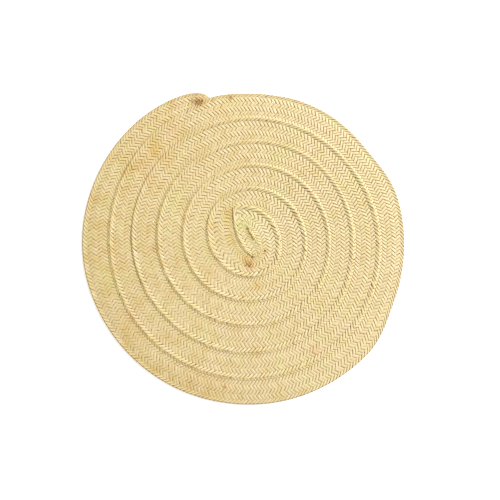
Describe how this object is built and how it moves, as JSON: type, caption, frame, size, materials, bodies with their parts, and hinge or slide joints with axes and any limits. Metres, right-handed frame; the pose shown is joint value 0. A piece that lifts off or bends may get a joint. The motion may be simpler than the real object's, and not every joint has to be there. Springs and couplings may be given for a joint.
{
  "type": "straw mat",
  "caption": "Round flat mat of plaited palm-leaf straw: one herringbone plait coiled from a leaf-shaped eye, with raised seams and a tapered end at the rim.",
  "frame": {"origin": "middle of the bounding box at the mat's flat underside", "axes": "+Z up, out of the face that shows; +X to the right and +Y up as the mat is seen from above, with the plait's tapered end near +Y"},
  "size_m": [0.5504, 0.5334, 0.0052],
  "materials": {
    "palm_leaf": "dried plaited palm leaf, satin, golden with paler and browner strips"
  },
  "bodies": {
    "root": {"coiled_plait": "palm_leaf"}
  },
  "joints": []
}
